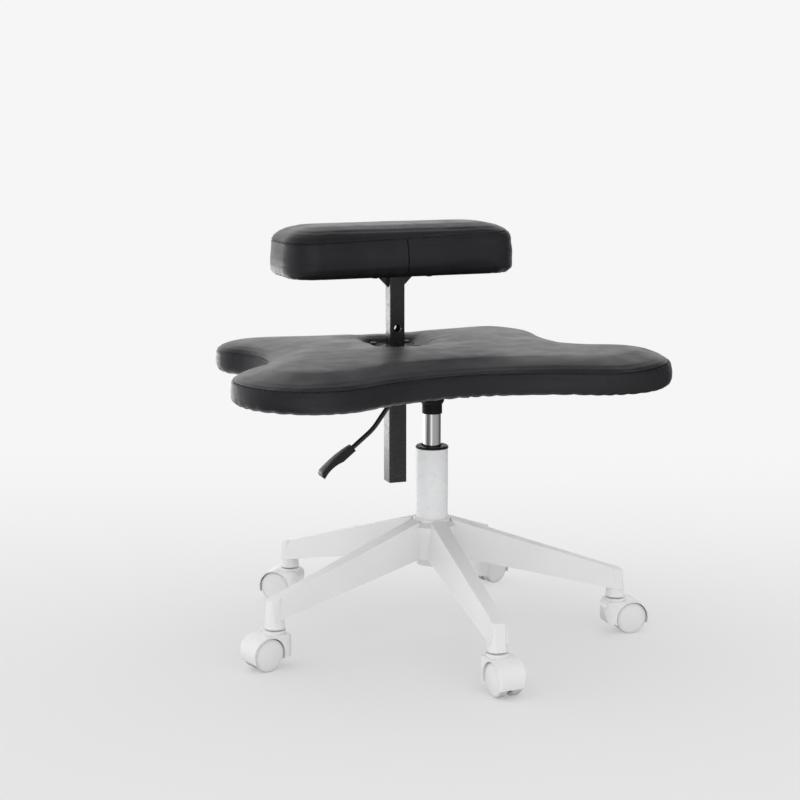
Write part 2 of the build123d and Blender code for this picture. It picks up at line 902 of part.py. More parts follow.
def save_casters():
    pieces = {
        "hood": caster_hood(),
        "stem": caster_stem(),
        "axle": caster_axle(),
        "wheel_a": caster_wheel(1),
        "wheel_b": caster_wheel(-1),
    }
    for corner, angle in arm_angles.items():
        x = socket_circle * cos(radians(angle))
        y = socket_circle * sin(radians(angle))
        place = Pos(x, y, 0) * Rot(0, 0, caster_yaws[corner])
        for name, solid in pieces.items():
            save(f"caster_{corner}_{name}", place * solid)


save_base()
save_lift()
save_seat()
save_post()
save_casters()
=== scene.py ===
import json
import math

import bpy
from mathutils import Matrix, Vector, kdtree, noise


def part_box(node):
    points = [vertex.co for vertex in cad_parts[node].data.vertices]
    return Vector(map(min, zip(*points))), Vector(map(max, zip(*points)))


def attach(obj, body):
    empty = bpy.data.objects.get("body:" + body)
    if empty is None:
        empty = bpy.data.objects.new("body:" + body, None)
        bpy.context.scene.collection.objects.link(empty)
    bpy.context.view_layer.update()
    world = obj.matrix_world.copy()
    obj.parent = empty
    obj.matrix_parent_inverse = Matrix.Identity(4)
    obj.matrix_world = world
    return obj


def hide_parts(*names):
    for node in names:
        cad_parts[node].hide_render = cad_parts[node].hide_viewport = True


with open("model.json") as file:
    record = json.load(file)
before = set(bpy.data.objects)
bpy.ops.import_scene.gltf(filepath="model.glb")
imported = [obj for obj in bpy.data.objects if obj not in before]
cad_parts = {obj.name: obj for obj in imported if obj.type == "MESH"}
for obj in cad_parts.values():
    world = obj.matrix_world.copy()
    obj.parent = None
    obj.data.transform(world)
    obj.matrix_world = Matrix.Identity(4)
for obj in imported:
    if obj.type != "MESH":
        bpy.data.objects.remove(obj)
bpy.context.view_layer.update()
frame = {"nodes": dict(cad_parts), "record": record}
nodes = frame["nodes"]
print("frame loaded:", len(nodes), "nodes")


# small helpers

def takeUp(obj):
    # the only selected object, and the active one
    bpy.ops.object.select_all(action="DESELECT")
    obj.select_set(True)
    bpy.context.view_layer.objects.active = obj


def applyModifier(obj, modifier):
    takeUp(obj)
    bpy.ops.object.modifier_apply(modifier=modifier.name)


def copyOfNode(nodeName, pieceName):
    # a merged copy of a node's mesh, in an object of its own
    piece = bpy.data.objects.new(pieceName, nodes[nodeName].data.copy())
    bpy.context.collection.objects.link(piece)
    piece.data.materials.clear()
    takeUp(piece)
    bpy.ops.mesh.customdata_custom_splitnormals_clear()
    bpy.ops.object.mode_set(mode="EDIT")
    bpy.ops.mesh.select_all(action="SELECT")
    bpy.ops.mesh.remove_doubles(threshold=0.00002)
    bpy.ops.object.mode_set(mode="OBJECT")
    return piece


def turnPiece(piece, angle):
    # about the lift's axis, in the mesh itself
    takeUp(piece)
    piece.rotation_euler[2] = angle
    bpy.ops.object.transform_apply(rotation=True)


def smoothStep(low, high, value):
    share = min(max((value - low) / (high - low), 0.0), 1.0)
    return share * share * (3 - 2 * share)


def between(value, rise, fall):
    # grows over the first stretch and fades over the second
    return smoothStep(*rise, value) * (1 - smoothStep(*fall, value))


seatTurn = math.radians(3)    # how far the seat stands turned on its lift


# camera, solved from the five caster sockets

cameraView = {
    "place": (-0.849, -2.486, 0.8415),
    "tilt": 79.87,
    "turn": -17.77,
    "lens": 77.58,
}


def setCamera():
    turn = (math.radians(cameraView["tilt"]), 0, math.radians(cameraView["turn"]))
    bpy.ops.object.camera_add(location=cameraView["place"], rotation=turn)
    camera = bpy.context.object
    camera.name = "photoCamera"
    camera.data.lens = cameraView["lens"]
    bpy.context.scene.camera = camera


setCamera()
print("camera set")


# floor, world and lamps

studio = {
    "white": 0.92,            # what the camera sees behind the chair
    "horizonLevel": 1.28,     # light on dull surfaces, low and high
    "zenithLevel": 0.8,
    "leftLean": 0.22,         # how much more of it comes from the left
    "leftSide": (-0.95, -0.33, 0),
    "toFront": (-0.32, -0.947, 0),
    "toRight": (0.947, -0.32, 0),
    # what shiny surfaces see: degrees round from the front, brightness
    "bands": (
        (-180, 1.32), (-164, 1.5), (-120, 1.05), (-92, 0.75), (-80, 0.62), (-64, 0.15),
        (-38, 0.15), (-20, 0.45), (-9, 0.95), (-1, 0.95), (6, 0.42), (60, 0.36),
        (90, 0.28), (102, 0.11), (140, 0.11), (154, 0.85), (168, 1.05), (180, 1.32),
    ),
    "ceiling": (0.4, 0.88, 1, 0.25),  # from this height to that one the bands fade to this share
    "floorSize": 60,
    "floorColor": (0.79, 0.79, 0.795, 1),
    "floorFade": (0.45, -1.5),      # metres towards the front between which the floor turns plain white
    "floorReach": (1.4, 4.5),       # metres from the middle, over which it turns white all around
    "floorVeil": 0.3,               # share of plain white before that
}

lamps = {
    "backStrip": {"place": (-0.5, 1.28, 0.22), "aim": (0, 0.16, 0.3), "size": (0.7, 0.42), "power": 2.3},
}


def mapRange(tree, source, fromLow, fromHigh, low, high):
    node = tree.nodes.new("ShaderNodeMapRange")
    node.interpolation_type = "SMOOTHSTEP"
    node.inputs["From Min"].default_value = fromLow
    node.inputs["From Max"].default_value = fromHigh
    node.inputs["To Min"].default_value = low
    node.inputs["To Max"].default_value = high
    tree.links.new(source, node.inputs["Value"])
    return node.outputs["Result"]


def mathNode(tree, operation, first, second):
    node = tree.nodes.new("ShaderNodeMath")
    node.operation = operation
    for socket, value in zip(node.inputs, (first, second)):
        if isinstance(value, (int, float)):
            socket.default_value = value
        else:
            tree.links.new(value, socket)
    return node.outputs["Value"]


def reach(tree, vector, way):
    # how far a place or a direction lies one way in the studio
    node = tree.nodes.new("ShaderNodeVectorMath")
    node.operation = "DOT_PRODUCT"
    node.inputs[1].default_value = studio[way]
    tree.links.new(vector, node.inputs[0])
    return node.outputs["Value"]


def bandsAt(tree, vector):
    # lights and dark flags stand round the chair, so that chrome shows upright bands
    angle = mathNode(tree, "ARCTAN2", reach(tree, vector, "toRight"), reach(tree, vector, "toFront"))
    share = mathNode(tree, "ADD", mathNode(tree, "DIVIDE", angle, 2 * math.pi), 0.5)
    ramp = tree.nodes.new("ShaderNodeValToRGB")
    stops = ramp.color_ramp.elements
    for band in studio["bands"][1:-1]:
        stops.new(band[0] / 360 + 0.5)
    for stop, band in zip(stops, studio["bands"]):
        stop.color = (band[1], band[1], band[1], 1)
    tree.links.new(share, ramp.inputs["Fac"])
    return ramp.outputs["Color"]


def mixBy(tree, share, first, second):
    node = tree.nodes.new("ShaderNodeMixShader")
    tree.links.new(share, node.inputs["Fac"])
    tree.links.new(first, node.inputs[1])
    tree.links.new(second, node.inputs[2])
    return node.outputs["Shader"]


def lightWorld():
    world = bpy.data.worlds.new("studio")
    bpy.context.scene.world = world
    world.use_nodes = True
    tree = world.node_tree
    tree.nodes.clear()
    direction = tree.nodes.new("ShaderNodeTexCoord").outputs["Generated"]
    split = tree.nodes.new("ShaderNodeSeparateXYZ")
    tree.links.new(direction, split.inputs["Vector"])
    height = mapRange(tree, split.outputs["Z"], 0, 1, studio["horizonLevel"], studio["zenithLevel"])
    more = studio["leftLean"]
    lean = mapRange(tree, reach(tree, direction, "leftSide"), -1, 1, 1 - more, 1 + more)
    walls = {name: tree.nodes.new("ShaderNodeBackground") for name in ("dull", "shiny", "white")}
    tree.links.new(mathNode(tree, "MULTIPLY", height, lean), walls["dull"].inputs["Strength"])
    overhead = mapRange(tree, split.outputs["Z"], *studio["ceiling"])
    bands = mathNode(tree, "MULTIPLY", bandsAt(tree, direction), overhead)
    tree.links.new(bands, walls["shiny"].inputs["Strength"])
    walls["white"].inputs["Strength"].default_value = studio["white"]
    for wall in walls.values():
        wall.inputs["Color"].default_value = (1, 1, 1, 1)
    seen = {name: wall.outputs["Background"] for name, wall in walls.items()}
    ray = tree.nodes.new("ShaderNodeLightPath")
    lit = mixBy(tree, ray.outputs["Is Glossy Ray"], seen["dull"], seen["shiny"])
    both = mixBy(tree, ray.outputs["Is Camera Ray"], lit, seen["white"])
    output = tree.nodes.new("ShaderNodeOutputWorld")
    tree.links.new(both, output.inputs["Surface"])


def floorMaterial():
    material = bpy.data.materials.new("paleFloor")
    material.use_nodes = True
    tree = material.node_tree
    tree.nodes.clear()
    own = tree.nodes.new("ShaderNodeBsdfDiffuse")
    own.inputs["Color"].default_value = studio["floorColor"]
    far = tree.nodes.new("ShaderNodeEmission")
    far.inputs["Strength"].default_value = studio["white"]
    place = tree.nodes.new("ShaderNodeTexCoord").outputs["Object"]
    back = mapRange(tree, reach(tree, place, "toFront"), *studio["floorFade"], studio["floorVeil"], 1)
    distance = tree.nodes.new("ShaderNodeVectorMath")
    distance.operation = "LENGTH"
    tree.links.new(place, distance.inputs[0])
    around = mapRange(tree, distance.outputs["Value"], *studio["floorReach"], 0, 1)
    away = mathNode(tree, "MAXIMUM", back, around)
    ray = tree.nodes.new("ShaderNodeLightPath")
    veil = mathNode(tree, "MULTIPLY", away, ray.outputs["Is Camera Ray"])
    seen = mixBy(tree, veil, own.outputs["BSDF"], far.outputs["Emission"])
    mirrored = tree.nodes.new("ShaderNodeEmission")
    tree.links.new(bandsAt(tree, place), mirrored.inputs["Strength"])
    both = mixBy(tree, ray.outputs["Is Glossy Ray"], seen, mirrored.outputs["Emission"])
    output = tree.nodes.new("ShaderNodeOutputMaterial")
    tree.links.new(both, output.inputs["Surface"])
    return material


def layFloor():
    bpy.ops.object.select_all(action="DESELECT")
    bpy.ops.mesh.primitive_plane_add(size=studio["floorSize"], location=(0, 0, 0))
    floor = bpy.context.object
    floor.name = "floor"
    floor.data.materials.append(floorMaterial())


def hangLamp(name, lamp):
    aim = Vector(lamp["aim"]) - Vector(lamp["place"])
    turn = aim.to_track_quat("-Z", "Y").to_euler()
    bpy.ops.object.light_add(type="AREA", location=lamp["place"], rotation=turn)
    obj = bpy.context.object
    obj.name = name
    obj.data.shape = "RECTANGLE"
    obj.data.size, obj.data.size_y = lamp["size"]
    obj.data.energy = lamp["power"]
    obj.visible_camera = False
    obj.visible_diffuse = False


lightWorld()
layFloor()
for lampName, lampFacts in lamps.items():
    hangLamp(lampName, lampFacts)
bpy.context.scene.view_settings.view_transform = "Standard"
print("studio lit")


# finishes

def startMaterial(name, metal=0.0, specular=0.5):
    material = bpy.data.materials.new(name)
    material.use_nodes = True
    shader = material.node_tree.nodes["Principled BSDF"]
    shader.inputs["Metallic"].default_value = metal
    shader.inputs["Specular IOR Level"].default_value = specular
    return material, material.node_tree, shader


def noiseAt(tree, scale, detail=2.0, stretch=(1, 1, 1)):
    # noise on object coordinates, scale in cells per metre
    mapping = tree.nodes.new("ShaderNodeMapping")
    mapping.inputs["Scale"].default_value = stretch
    tree.links.new(tree.nodes.new("ShaderNodeTexCoord").outputs["Object"], mapping.inputs["Vector"])
    texture = tree.nodes.new("ShaderNodeTexNoise")
    texture.inputs["Scale"].default_value = scale
    texture.inputs["Detail"].default_value = detail
    tree.links.new(mapping.outputs["Vector"], texture.inputs["Vector"])
    return texture.outputs["Fac"]


def pebblesAt(tree, scale, randomness=1.0):
    # leather-like cells, highest in the middle of each
    texture = tree.nodes.new("ShaderNodeTexVoronoi")
    texture.feature = "DISTANCE_TO_EDGE"
    texture.inputs["Scale"].default_value = scale
    texture.inputs["Randomness"].default_value = randomness
    tree.links.new(tree.nodes.new("ShaderNodeTexCoord").outputs["Object"], texture.inputs["Vector"])
    return texture.outputs["Distance"]


def tintBetween(tree, shader, source, low, high, fromLow=0.3, fromHigh=0.7):
    ramp = tree.nodes.new("ShaderNodeValToRGB")
    ramp.color_ramp.elements[0].position = fromLow
    ramp.color_ramp.elements[0].color = (*low, 1)
    ramp.color_ramp.elements[1].position = fromHigh
    ramp.color_ramp.elements[1].color = (*high, 1)
    tree.links.new(source, ramp.inputs["Fac"])
    tree.links.new(ramp.outputs["Color"], shader.inputs["Base Color"])


def roughBetween(tree, shader, source, low, high):
    tree.links.new(mapRange(tree, source, 0.3, 0.7, low, high), shader.inputs["Roughness"])


def bumpFrom(tree, shader, *heights):
    # each height is (source, depth in metres), the first one lowest in the chain
    normal = None
    for source, depth in heights:
        bump = tree.nodes.new("ShaderNodeBump")
        bump.inputs["Distance"].default_value = depth
        bump.inputs["Strength"].default_value = 1.0
        tree.links.new(source, bump.inputs["Height"])
        if normal:
            tree.links.new(normal, bump.inputs["Normal"])
        normal = bump.outputs["Normal"]
    tree.links.new(normal, shader.inputs["Normal"])


def whiteNylon():
    # moulded, satin, with faint flow marks
    material, tree, shader = startMaterial("whiteNylon")
    tintBetween(tree, shader, noiseAt(tree, 9, 3), (0.80, 0.80, 0.805), (0.85, 0.85, 0.85))
    roughBetween(tree, shader, noiseAt(tree, 60, 4), 0.30, 0.42)
    bumpFrom(tree, shader, (noiseAt(tree, 1400, 2), 0.00003), (noiseAt(tree, 40, 2), 0.00012))
    return material


def wheelNylon():
    # white discs, and a greyer tread where the wheel's own attribute marks it
    material, tree, shader = startMaterial("wheelNylon")
    marked = tree.nodes.new("ShaderNodeAttribute")
    marked.attribute_name = "tread"
    speckle = mathNode(tree, "MULTIPLY", noiseAt(tree, 40, 3), 0.2)
    share = mathNode(tree, "SUBTRACT", marked.outputs["Fac"], speckle)
    tintBetween(tree, shader, share, (0.81, 0.81, 0.815), (0.58, 0.58, 0.585))
    roughBetween(tree, shader, share, 0.36, 0.6)
    bumpFrom(tree, shader, (noiseAt(tree, 1400, 2), 0.00003))
    return material


def whitePowder():
    # powder coat with its orange peel
    material, tree, shader = startMaterial("whitePowder")
    tintBetween(tree, shader, noiseAt(tree, 14, 2), (0.84, 0.845, 0.855), (0.88, 0.885, 0.89))
    roughBetween(tree, shader, noiseAt(tree, 80, 3), 0.26, 0.36)
    bumpFrom(tree, shader, (noiseAt(tree, 420, 1), 0.00006))
    return material


def polishedChrome():
    # polished, with fine marks drawn along the rod
    material, tree, shader = startMaterial("polishedChrome", metal=1.0)
    drawn = noiseAt(tree, 60, 3, (12, 12, 0.4))
    tintBetween(tree, shader, drawn, (0.80, 0.81, 0.83), (0.88, 0.89, 0.91))
    roughBetween(tree, shader, drawn, 0.05, 0.10)
    bumpFrom(tree, shader, (noiseAt(tree, 200, 2, (8, 8, 0.3)), 0.00001))
    return material


def platedSteel(name, darkest, lightest, roughness):
    material, tree, shader = startMaterial(name, metal=1.0)
    tintBetween(tree, shader, noiseAt(tree, 300, 3), darkest, lightest)
    roughBetween(tree, shader, noiseAt(tree, 500, 2), *roughness)
    bumpFrom(tree, shader, (noiseAt(tree, 900, 2), 0.00002))
    return material


def zincSteel():
    return platedSteel("zincSteel", (0.52, 0.53, 0.54), (0.66, 0.67, 0.68), (0.24, 0.38))


def blackOxideAndShadeSteel():
    # dark steel: black-oxide flange bolts, and the zinc pad screws darkened as painted shade
    return platedSteel("blackOxideAndShadeSteel", (0.10, 0.10, 0.105), (0.17, 0.17, 0.175), (0.28, 0.4))


def darkPowder(name, specular, roughness, peel):
    # black powder coat, peel is the depth of its grain
    material, tree, shader = startMaterial(name, specular=specular)
    tintBetween(tree, shader, noiseAt(tree, 30, 3), (0.008, 0.008, 0.0085), (0.013, 0.013, 0.014))
    roughBetween(tree, shader, noiseAt(tree, 120, 3), *roughness)
    bumpFrom(tree, shader, (noiseAt(tree, 450, 1), peel))
    return material


def blackPowder():
    return darkPowder("blackPowder", 0.9, (0.24, 0.36), 0.00005)


def mattPowder():
    return darkPowder("mattPowder", 0.25, (0.55, 0.7), 0.00006)


def blackPlastic():
    # moulded with a fine spark texture
    material, tree, shader = startMaterial("blackPlastic")
    tintBetween(tree, shader, noiseAt(tree, 25, 2), (0.010, 0.010, 0.0105), (0.016, 0.016, 0.017))
    roughBetween(tree, shader, noiseAt(tree, 90, 3), 0.36, 0.5)
    bumpFrom(tree, shader, (noiseAt(tree, 1600, 2), 0.00004))
    return material


def leatherette():
    # coated fabric: small pebbles, soft stretch marks, an uneven sheen
    material, tree, shader = startMaterial("leatherette")
    tintBetween(tree, shader, noiseAt(tree, 16, 4), (0.0115, 0.0112, 0.0150), (0.017, 0.0167, 0.0215))
    roughBetween(tree, shader, noiseAt(tree, 35, 5), 0.36, 0.43)
    grain = mapRange(tree, pebblesAt(tree, 800), 0, 0.35, 0, 1)
    bumpFrom(tree, shader, (noiseAt(tree, 18, 2), 0.0003), (grain, 0.00009))
    return material


def sewingThread():
    material, tree, shader = startMaterial("sewingThread", specular=0.4)
    tintBetween(tree, shader, noiseAt(tree, 900, 2), (0.012, 0.012, 0.013), (0.03, 0.03, 0.032))
    roughBetween(tree, shader, noiseAt(tree, 700, 2), 0.4, 0.6)
    return material


def plywood():
    # veneers stacked upwards, grain along X
    material, tree, shader = startMaterial("plywood", specular=0.3)
    place = tree.nodes.new("ShaderNodeTexCoord").outputs["Object"]
    layers = tree.nodes.new("ShaderNodeTexWave")
    layers.bands_direction = "Z"
    layers.inputs["Scale"].default_value = 105
    layers.inputs["Distortion"].default_value = 0.4
    tree.links.new(place, layers.inputs["Vector"])
    grain = noiseAt(tree, 60, 5, (0.6, 7, 7))
    both = mathNode(tree, "MULTIPLY_ADD", layers.outputs["Fac"], 0.45)
    tree.links.new(mathNode(tree, "MULTIPLY", grain, 0.55), both.node.inputs[2])
    tintBetween(tree, shader, both, (0.36, 0.23, 0.12), (0.62, 0.46, 0.29), 0.25, 0.75)
    roughBetween(tree, shader, grain, 0.55, 0.75)
    bumpFrom(tree, shader, (grain, 0.0002))
    return material


def dustCloth():
    # thin non-woven cloth, pressed in a dotted pattern
    material, tree, shader = startMaterial("dustCloth", specular=0.2)
    tintBetween(tree, shader, noiseAt(tree, 700, 4), (0.012, 0.012, 0.013), (0.028, 0.028, 0.03))
    roughBetween(tree, shader, noiseAt(tree, 300, 3), 0.75, 0.92)
    bumpFrom(tree, shader, (pebblesAt(tree, 450, 0.2), 0.0006), (noiseAt(tree, 1500, 3), 0.0001))
    return material


finishes = {
    "white_nylon": whiteNylon(),
    "white_steel": whitePowder(),
    "black_plastic": blackPlastic(),
    "chrome": polishedChrome(),
    "steel": zincSteel(),
    "black_steel": blackPowder(),
    "plywood": plywood(),
    "dust_cloth": dustCloth(),
    "leatherette": leatherette(),
    "thread": sewingThread(),
}


def dress(obj, finish):
    obj.data.materials.clear()
    obj.data.materials.append(finish)


for subpart in frame["record"]["subparts"]:
    dress(nodes[subpart["node"]], finishes[subpart["material_slot"]])
shaded = {"sleeve_flange": mattPowder(), "flange_bolts": blackOxideAndShadeSteel()}
shaded["taper_socket"] = shaded["sleeve_flange"]
# painted shade: the zinc pad screws under the seat take the dark steel, as they lie in shadow
shaded["pad_screws"] = shaded["flange_bolts"]
for nodeName, finish in shaded.items():
    dress(nodes[nodeName], finish)
print("finishes made:", len(finishes))


# caster wheels: the tread is the face furthest from the axle

wheelTread = {"radius": 0.0238}


def middleOf(nodeName):
    low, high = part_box(nodeName)
    return (Vector(low) + Vector(high)) / 2


def markTread(caster):
    centre = middleOf(caster + "_axle")
    axle = (middleOf(caster + "_wheel_b") - middleOf(caster + "_wheel_a")).normalized()
    for side in "ab":
        mesh = nodes[f"{caster}_wheel_{side}"].data
        marks = []
        for polygon in mesh.polygons:
            away = polygon.center - centre
            away -= axle * away.dot(axle)
            marks.append(1.0 if away.length > wheelTread["radius"] else 0.0)
        tread = mesh.attributes.new("tread", "FLOAT", "FACE")
        tread.data.foreach_set("value", marks)
        dress(nodes[f"{caster}_wheel_{side}"], wheelFinish)


wheelFinish = wheelNylon()
for nodeName in nodes:
    if nodeName.endswith("_hood"):
        markTread(nodeName.removesuffix("_hood"))
print("treads marked")


# pads: outline helpers

outlineStep = 0.002           # between neighbouring points of an outline


def arcPoints(centre, radius, start, end):
    count = max(2, round(abs(math.radians(end - start)) * radius / outlineStep))
    turns = [math.radians(start + (end - start) * index / count) for index in range(count)]
    return [(centre[0] + radius * math.cos(turn), centre[1] + radius * math.sin(turn)) for turn in turns]


def heading(start, end):
    return math.degrees(math.atan2(end[1] - start[1], end[0] - start[0]))


lowerPad = {
    "frontLobe": (0.2263, -0.1012, 0.1189),     # x, y, radius, square to the seat
    "rearLobe": (0.2085, 0.2113, 0.0737),
    "frontDip": -0.1606,
    "rearDip": 0.2602,
    "notchRadius": 0.1262,
    "voxel": 0.0045,
    "slack": 0.0006,          # shrunk by this before it is stuffed
    "swell": 0.0035,          # the most that stuffing may move a point
    "pressure": 3.0,
    "low": 0.4007,
    "flank": (0.010, 1.458),  # inset at the lowest edge, and how fast it shrinks upwards
    "boardInset": 0.0137,
    "boardTop": 0.4195,
    "seam": 0.4345,
    "seamDepth": 0.0011,
    "seamZone": (0.012, 0.02),    # how far from the seam, and how far in, the cover is cut for it
    "staplePitch": 0.024,
    "staplePull": 0.0016,
    "stapleSeed": 0.0,
    "flangeCentre": (0, 0.163),
    "flangeHalf": (0.042, 0.038),
    "flangeFade": (1.0, 1.5),     # in half flanges: the cover is held up to the first, free from the second
    "flangeClear": 1.1,           # nothing nearer than this is eased
    "easing": ((0.012, 24), (0.006, 5)),    # inset from which the top is eased, and how often
    "easedFrom": 0.002,           # height above the seam
    # wrinkles: where each kind grows and fades, and how deep it is
    "creaseBand": ((0.006, 0.014), (0.028, 0.032)),
    "creaseInset": (0.010, 0.02),
    "crease": 0.0009,
    "gather": 0.0006,
    "foldReach": 0.1,
    "foldRing": ((0.048, 0.062), (0.075, 0.15)),
    "fold": 0.0017,
    "slowFrom": (0.05, 0.09),
    "slow": 0.0005,
    "slopeFrom": 0.001,
    "slopeInset": ((0.0025, 0.010), (0.018, 0.080)),
    "slope": 0.0018,
    # each lobe's own shift along +X, rise of its top and rise of its foot
    "lobeMoves": {
        "rightNotch": (0.006, 0, 0),
        "rightFront": (0.001, 0.0028, 0),
        "rightRear": (-0.008, -0.0035, 0),
        "leftRear": (-0.0045, 0, 0),
        "leftFront": (-0.0018, 0, 0.0008),
    },
}


def lobedOutline(pad):
    # four lobes joined by tangent hollows, counter-clockwise from the front's middle
    front, rear = pad["frontLobe"], pad["rearLobe"]
    notchR = pad["notchRadius"]

    def hollowRadius(lobe, dip, side):
        rise = lobe[1] - dip
        return (lobe[0] ** 2 + rise ** 2 - lobe[2] ** 2) / (2 * lobe[2] + 2 * side * rise)

    frontR = hollowRadius(front, pad["frontDip"], -1)
    rearR = hollowRadius(rear, pad["rearDip"], 1)
    frontCentre = (0, pad["frontDip"] - frontR)
    rearCentre = (0, pad["rearDip"] + rearR)
    dx, dy = rear[0] - front[0], rear[1] - front[1]
    span = math.hypot(dx, dy)
    near, far = notchR + front[2], notchR + rear[2]
    along = (near ** 2 - far ** 2 + span ** 2) / (2 * span)
    out = math.sqrt(near ** 2 - along ** 2)
    notch = (front[0] + (along * dx + out * dy) / span, front[1] + (along * dy - out * dx) / span)
    frontTurn = heading(front, frontCentre)
    rearTurn = heading(rear, rearCentre)
    right = arcPoints(frontCentre, frontR, 90, frontTurn + 180)
    right += arcPoints(front, front[2], frontTurn, heading(front, notch))
    right += arcPoints(notch, notchR, heading(front, notch) + 180, heading(rear, notch) + 180)
    right += arcPoints(rear, rear[2], heading(rear, notch), rearTurn)
    right += arcPoints(rearCentre, rearR, rearTurn - 180, -90)
    left = [(-x, y) for x, y in reversed(right[1:])]
    return right + [(0, pad["rearDip"])] + left


class Outline:
    # nearest place on a closed outline: how far along it, and how far inside it
    def __init__(self, points):
        self.points = points
        self.tree = kdtree.KDTree(len(points))
        self.lengths = []
        total = 0.0
        for index, point in enumerate(points):
            self.tree.insert((point[0], point[1], 0), index)
            self.lengths.append(total)
            following = points[(index + 1) % len(points)]
            total += math.dist(point, following)
        self.tree.balance()
        self.total = total

    def outwardAt(self, index):
        before = self.points[index - 1]
        after = self.points[(index + 1) % len(self.points)]
        return Vector((after[1] - before[1], before[0] - after[0], 0)).normalized()

    def place(self, co):
        spot, index = self.tree.find((co.x, co.y, 0))[:2]
        outward = self.outwardAt(index)
        inset = (spot - Vector((co.x, co.y, 0))).dot(outward)
        return self.lengths[index], inset, outward


# pads: stuffing

def remeshPad(pad, facts):
    remesh = pad.modifiers.new("evenMesh", "REMESH")
    remesh.mode = "VOXEL"
    remesh.voxel_size = facts["voxel"]
    applyModifier(pad, remesh)


stuffing = {
    "quality": 5,
    "mass": 0.3,
    "stretch": 30,            # how stiff the cover is
    "shear": 12,
    "bending": 8,
    "frames": 20,
    "evenRounds": 14,         # how often each move is shared with its neighbours
    "boardEdge": 0.003,       # the glue starts this far outside the board's edge
    "glueFade": (0.001, 0.004),    # heights over the board, and over the lowest edge, where the hold ends
    "hemFade": (0.004, 0.014),
}


def evenOut(mesh, moves):
    # foam under the cover spreads each dent over its neighbours
    beside = [[] for _ in mesh.vertices]
    for edge in mesh.edges:
        first, second = edge.vertices
        beside[first].append(second)
        beside[second].append(first)
    for _ in range(stuffing["evenRounds"]):
        moves = [
            (move + sum((moves[other] for other in others), Vector()) / len(others)) / 2
            for move, others in zip(moves, beside)
        ]
    return moves


def stuffPad(pad, facts, heldAt):
    # foam pressing the cover out, held where the cover is glued or stapled
    held = pad.vertex_groups.new(name="held")
    for vertex in pad.data.vertices:
        held.add([vertex.index], heldAt(vertex.co), "REPLACE")
    normals = [vertex.normal.copy() for vertex in pad.data.vertices]
    for vertex, normal in zip(pad.data.vertices, normals):
        vertex.co -= normal * facts["slack"] * (1 - heldAt(vertex.co))
    start = [vertex.co.copy() for vertex in pad.data.vertices]
    cloth = pad.modifiers.new("stuffing", "CLOTH")
    cover = cloth.settings
    cover.quality = stuffing["quality"]
    cover.mass = stuffing["mass"]
    cover.tension_stiffness = cover.compression_stiffness = stuffing["stretch"]
    cover.shear_stiffness = stuffing["shear"]
    cover.bending_stiffness = stuffing["bending"]
    cover.use_pressure = True
    cover.uniform_pressure_force = facts["pressure"]
    cover.vertex_group_mass = held.name
    cover.effector_weights.gravity = 0
    cloth.point_cache.frame_start = 1
    cloth.point_cache.frame_end = stuffing["frames"]
    takeUp(pad)
    for frameNumber in range(1, stuffing["frames"] + 1):
        bpy.context.scene.frame_set(frameNumber)
    applyModifier(pad, cloth)
    bpy.context.scene.frame_set(1)
    moves = evenOut(pad.data, [vertex.co - rest for vertex, rest in zip(pad.data.vertices, start)])
    for vertex, rest, move in zip(pad.data.vertices, start, moves):
        vertex.co = rest + move * min(1, facts["swell"] / max(move.length, 0.00001))
    pad.vertex_groups.clear()
    most = max(move.length for move in moves)
    print(pad.name, "stuffed, largest free swell", round(most * 1000, 1), "mm")


def onTop(co, edge, outline, facts):
    # above the seam and further in than the edge
    return co.z > facts["seam"] + facts["easedFrom"] and outline.place(co)[1] > edge


def easeTop(pad, inZone, rounds):
    # the crown runs into the top without a ridge
    takeUp(pad)
    for group in (pad.data.edges, pad.data.polygons):
        group.foreach_set("select", [False] * len(group))
    for vertex in pad.data.vertices:
        vertex.select = inZone(vertex.co)
    bpy.ops.object.mode_set(mode="EDIT")
    bpy.ops.mesh.select_mode(type="VERT")
    bpy.ops.mesh.vertices_smooth(factor=0.5, repeat=rounds, xaxis=False, yaxis=False)
    bpy.ops.object.mode_set(mode="OBJECT")


def refinePad(pad):
    finer = pad.modifiers.new("finer", "SUBSURF")
    finer.levels = finer.render_levels = 1
    applyModifier(pad, finer)


def cutAlong(pad, inZone, point, normal):
    # a row of edges where a plane meets the chosen faces
    takeUp(pad)
    for polygon in pad.data.polygons:
        polygon.select = inZone(polygon.center)
    bpy.ops.object.mode_set(mode="EDIT")
    bpy.ops.mesh.select_mode(type="FACE")
    bpy.ops.mesh.bisect(plane_co=point, plane_no=normal)
    bpy.ops.object.mode_set(mode="OBJECT")


seamRows = {
    "pitch": 0.0011,          # between the rows of edges that are cut along a seam
    "steps": (-2, -1, 0, 1, 2),
    # rows from the seam, and the cover's rise up to there in shares of the seam's depth
    "profile": ((0.2, -1), (1.2, -0.12), (2.2, 0.22)),
}


def sewSeam(pad, inZone, point, normal, depth):
    # the cover is drawn in along the stitches and stands up a little on both sides
    normal = Vector(normal).normalized()
    for step in seamRows["steps"]:
        cutAlong(pad, inZone, Vector(point) + normal * (step * seamRows["pitch"]), normal)
    mesh = pad.data
    normals = [vertex.normal.copy() for vertex in mesh.vertices]
    for vertex, away in zip(mesh.vertices, normals):
        if not inZone(vertex.co):
            continue
        gap = abs((vertex.co - Vector(point)).dot(normal)) / seamRows["pitch"]
        for rows, rise in seamRows["profile"]:
            if gap < rows:
                vertex.co += away * depth * rise
                break


# pads: the cover's lower edge

hemFold = {
    "trim": 0.0009,           # the stuffed body ends this far above the cover's lowest edge
    "rise": 0.003,            # how far the hem reaches up the flank
    "under": 0.004,           # and in under the board
    "cover": 0.0007,          # thickness of the folded cover
    "overlap": 0.0002,        # its end stands this far outside the board's edge
}

